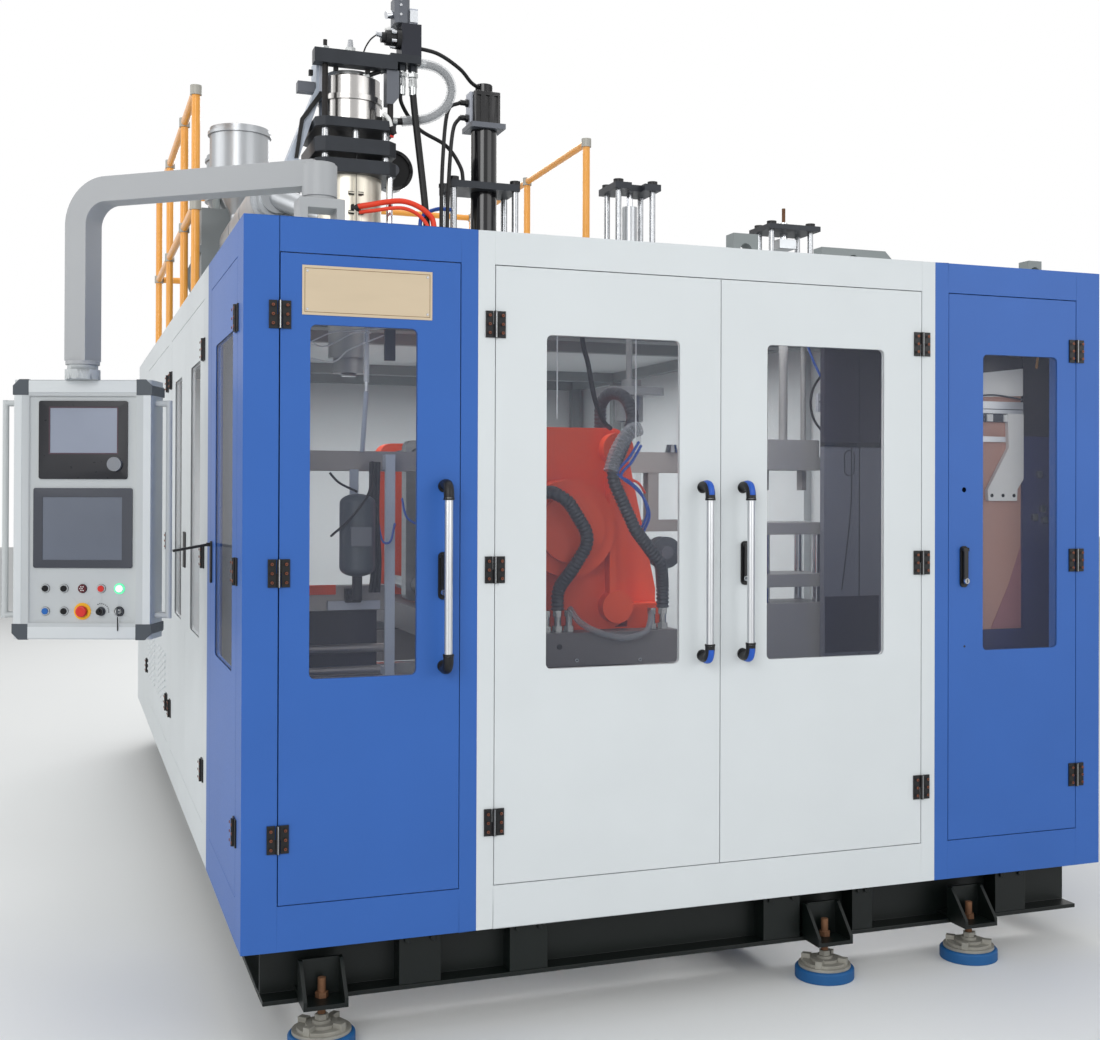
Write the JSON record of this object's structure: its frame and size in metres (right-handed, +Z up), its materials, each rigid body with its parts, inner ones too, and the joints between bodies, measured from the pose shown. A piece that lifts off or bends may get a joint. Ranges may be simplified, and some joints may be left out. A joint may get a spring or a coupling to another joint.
{
  "type": "blow moulding machine",
  "caption": "Enclosed blow moulding machine with windowed doors, control panel on a swing arm, roof die head and extruder, guard rails and levelling feet.",
  "frame": {"origin": "underside centre of the front left levelling pad, on the floor", "axes": "+X right along the front face, +Y back into the machine, +Z up"},
  "size_m": [3.7669, 5.6598, 3.672],
  "materials": {
    "blue_paint": "satin",
    "grey_paint": "satin",
    "base_paint": "semi-gloss",
    "frame_paint": "satin",
    "cast_grey": "rough cast",
    "pad_rubber": "matte",
    "window": "clear",
    "handle_steel": "brushed",
    "black_hinge": "powder coated",
    "black_plastic": "matte",
    "steel": "machined",
    "chrome": "polished",
    "barrel_cream": "satin",
    "dark_plate": "satin",
    "aluminium": "machined",
    "hopper_steel": "brushed",
    "rail_paint": "gloss",
    "hose_rubber": "satin",
    "hose_grey": "ribbed",
    "bed_paint": "satin",
    "orange_paint": "satin",
    "arm_paint": "satin",
    "panel_paint": "satin",
    "panel_black": "gloss",
    "button_black": "gloss",
    "button_red": "gloss",
    "button_green": "translucent",
    "button_blue": "gloss"
  },
  "bodies": {
    "machine": {"base_frame": "base_paint", "upper_frame": "frame_paint", "levelling_mounts": "cast_grey", "levelling_pads": "pad_rubber", "blue_cladding": "blue_paint", "grey_cladding": "grey_paint", "roof_panels": "grey_paint", "hinge_leaves": "black_hinge", "arm_pedestal": "arm_paint", "die_head": "barrel_cream", "head_plates": "dark_plate", "head_hydraulics": "steel", "station_frames": "steel", "station_cylinders": "aluminium", "extruder": "hopper_steel", "hoppers": "hopper_steel", "guard_rails": "rail_paint", "hydraulic_lines": "hose_rubber", "machine_bed": "bed_paint"},
    "left_corner_door": {"front_left_door": "blue_paint", "front_left_glass": "window", "front_left_handle": "handle_steel"},
    "left_corner_lever": {"front_left_lock_lever": "black_plastic"},
    "left_mould_door": {"mould_door_left": "grey_paint", "mould_door_left_glass": "window", "mould_door_left_handle": "handle_steel"},
    "right_mould_door": {"mould_door_right": "grey_paint", "mould_door_right_glass": "window", "mould_door_right_handle": "handle_steel"},
    "mould_lever": {"mould_door_lock_lever": "black_plastic"},
    "right_corner_door": {"front_right_door": "blue_paint", "front_right_glass": "window"},
    "right_corner_lever": {"front_right_lock_lever": "black_plastic"},
    "side_door_a": {"side_front_door": "blue_paint"},
    "side_lever": {"side_front_lever": "black_plastic"},
    "side_door_b": {"side_mid_door_front": "grey_paint"},
    "side_door_c": {"side_mid_door_rear": "grey_paint"},
    "side_door_d": {"side_rear_door_front": "grey_paint"},
    "side_door_e": {"side_rear_door_rear": "grey_paint"},
    "arm": {"swing_arm": "arm_paint"},
    "panel": {"panel_housing": "panel_paint", "panel_displays": "panel_black"},
    "dial": {"jog_dial": "button_black"},
    "stop_button": {"emergency_stop": "button_red"},
    "rotary_knob": {"speed_knob": "button_black"},
    "key": {"key_switch": "steel"},
    "clamp": {"clamp_carriage": "orange_paint", "clamp_hoses": "hose_grey"},
    "platen_front": {"front_platen": "steel"},
    "platen_rear": {"rear_platen": "steel"},
    "pin": {"blow_pin": "chrome"},
    "trim": {"trim_press_head": "steel"},
    "take_out": {"take_out_head": "bed_paint"},
    "mandrel": {"die_mandrel": "chrome"},
    "black_button_1_cap": {"black_button_1": "button_black"},
    "black_button_2_cap": {"black_button_2": "button_black"},
    "red_button_cap": {"red_button": "button_red"},
    "green_button_cap": {"green_button": "button_green"},
    "blue_button_cap": {"blue_button": "button_blue"},
    "black_button_3_cap": {"black_button_3": "button_black"}
  },
  "joints": [
    {"name": "left_corner_door_hinge", "type": "hinge", "parent": "machine", "child": "left_corner_door", "pos_m": [-0.1345, -0.027, 1.3845], "axis": [0, 0, -1], "range_deg": [0, 110]},
    {"name": "left_mould_door_hinge", "type": "hinge", "parent": "machine", "child": "left_mould_door", "pos_m": [0.5255, -0.027, 1.3845], "axis": [0, 0, -1], "range_deg": [0, 110]},
    {"name": "right_mould_door_hinge", "type": "hinge", "parent": "machine", "child": "right_mould_door", "pos_m": [2.0745, -0.027, 1.3845], "axis": [0, 0, 1], "range_deg": [0, 110]},
    {"name": "right_corner_door_hinge", "type": "hinge", "parent": "machine", "child": "right_corner_door", "pos_m": [2.7345, -0.027, 1.3845], "axis": [0, 0, 1], "range_deg": [0, 110]},
    {"name": "side_door_a_hinge", "type": "hinge", "parent": "machine", "child": "side_door_a", "pos_m": [-0.247, 0.1195, 1.3845], "axis": [0, 0, 1], "range_deg": [0, 95]},
    {"name": "side_door_b_hinge", "type": "hinge", "parent": "machine", "child": "side_door_b", "pos_m": [-0.247, 1.1285, 1.3845], "axis": [0, 0, 1], "range_deg": [0, 60]},
    {"name": "side_door_c_hinge", "type": "hinge", "parent": "machine", "child": "side_door_c", "pos_m": [-0.247, 2.6925, 1.3845], "axis": [0, 0, -1], "range_deg": [0, 90]},
    {"name": "side_door_d_hinge", "type": "hinge", "parent": "machine", "child": "side_door_d", "pos_m": [-0.247, 2.9085, 1.3845], "axis": [0, 0, 1], "range_deg": [0, 90]},
    {"name": "side_door_e_hinge", "type": "hinge", "parent": "machine", "child": "side_door_e", "pos_m": [-0.247, 4.4465, 1.3845], "axis": [0, 0, -1], "range_deg": [0, 90]},
    {"name": "left_corner_lever_pivot", "type": "hinge", "parent": "left_corner_door", "child": "left_corner_lever", "pos_m": [0.3605, -0.034, 1.445], "axis": [-1, 0, 0], "range_deg": [0, 12]},
    {"name": "mould_lever_pivot", "type": "hinge", "parent": "right_mould_door", "child": "mould_lever", "pos_m": [1.389, -0.034, 1.4695], "axis": [-1, 0, 0], "range_deg": [0, 12]},
    {"name": "right_corner_lever_pivot", "type": "hinge", "parent": "right_corner_door", "child": "right_corner_lever", "pos_m": [2.248, -0.034, 1.444], "axis": [-1, 0, 0], "range_deg": [0, 30]},
    {"name": "side_lever_pivot", "type": "hinge", "parent": "side_door_a", "child": "side_lever", "pos_m": [-0.254, 0.83, 1.4555], "axis": [0, 1, 0], "range_deg": [-80, 0]},
    {"name": "arm_swing", "type": "hinge", "parent": "machine", "child": "arm", "pos_m": [0.067, 0.486, 2.693], "axis": [0, 0, -1], "range_deg": [-75, 0]},
    {"name": "panel_swivel", "type": "hinge", "parent": "arm", "child": "panel", "pos_m": [-0.66114, 1.08837, 2.033], "axis": [0, 0, 1], "range_deg": [-45, 15]},
    {"name": "black_button_1_press", "type": "slide", "parent": "panel", "child": "black_button_1_cap", "axis": [0.359, 0.9333, 0], "range_m": [0, 0.004], "stiffness_N_per_m": 300, "springref_m": -0.004},
    {"name": "black_button_2_press", "type": "slide", "parent": "panel", "child": "black_button_2_cap", "axis": [0.359, 0.9333, 0], "range_m": [0, 0.004], "stiffness_N_per_m": 300, "springref_m": -0.004},
    {"name": "red_button_press", "type": "slide", "parent": "panel", "child": "red_button_cap", "axis": [0.359, 0.9333, 0], "range_m": [0, 0.004], "stiffness_N_per_m": 300, "springref_m": -0.004},
    {"name": "green_button_press", "type": "slide", "parent": "panel", "child": "green_button_cap", "axis": [0.359, 0.9333, 0], "range_m": [0, 0.004], "stiffness_N_per_m": 300, "springref_m": -0.004},
    {"name": "blue_button_press", "type": "slide", "parent": "panel", "child": "blue_button_cap", "axis": [0.359, 0.9333, 0], "range_m": [0, 0.004], "stiffness_N_per_m": 300, "springref_m": -0.004},
    {"name": "black_button_3_press", "type": "slide", "parent": "panel", "child": "black_button_3_cap", "axis": [0.359, 0.9333, 0], "range_m": [0, 0.004], "stiffness_N_per_m": 300, "springref_m": -0.004},
    {"name": "stop_press", "type": "slide", "parent": "panel", "child": "stop_button", "axis": [0.359, 0.9333, 0], "range_m": [0, 0.005], "stiffness_N_per_m": 500, "springref_m": -0.006},
    {"name": "rotary_knob_turn", "type": "hinge", "parent": "panel", "child": "rotary_knob", "pos_m": [-0.59543, 1.07655, 1.2135], "axis": [0.359, 0.9333, 0], "range_deg": [-135, 135]},
    {"name": "key_turn", "type": "hinge", "parent": "panel", "child": "key", "pos_m": [-0.53476, 1.05321, 1.2135], "axis": [0.359, 0.9333, 0], "range_deg": [0, 90]},
    {"name": "dial_turn", "type": "hinge", "parent": "panel", "child": "dial", "pos_m": [-0.54969, 1.05895, 1.735], "axis": [0.359, 0.9333, 0], "continuous": true},
    {"name": "clamp_shuttle", "type": "slide", "parent": "machine", "child": "clamp", "axis": [1, 0, 0], "range_m": [-0.566, 0]},
    {"name": "front_platen_slide", "type": "slide", "parent": "clamp", "child": "platen_front", "axis": [0, 1, 0], "range_m": [0, 0.1795]},
    {"name": "rear_platen_slide", "type": "slide", "parent": "clamp", "child": "platen_rear", "axis": [0, 1, 0], "range_m": [-0.1795, 0]},
    {"name": "blow_pin_stroke", "type": "slide", "parent": "machine", "child": "pin", "axis": [0, 0, 1], "range_m": [-0.25, 0]},
    {"name": "trim_stroke", "type": "slide", "parent": "machine", "child": "trim", "axis": [0, 0, 1], "range_m": [-0.25, 0]},
    {"name": "take_out_stroke", "type": "slide", "parent": "machine", "child": "take_out", "axis": [0, 0, 1], "range_m": [-0.12, 0]},
    {"name": "mandrel_stroke", "type": "slide", "parent": "machine", "child": "mandrel", "axis": [0, 0, 1], "range_m": [-0.02, 0]}
  ],
  "couplings": [
    {"joint": "rear_platen_slide", "follows": "front_platen_slide", "ratio": -1}
  ]
}
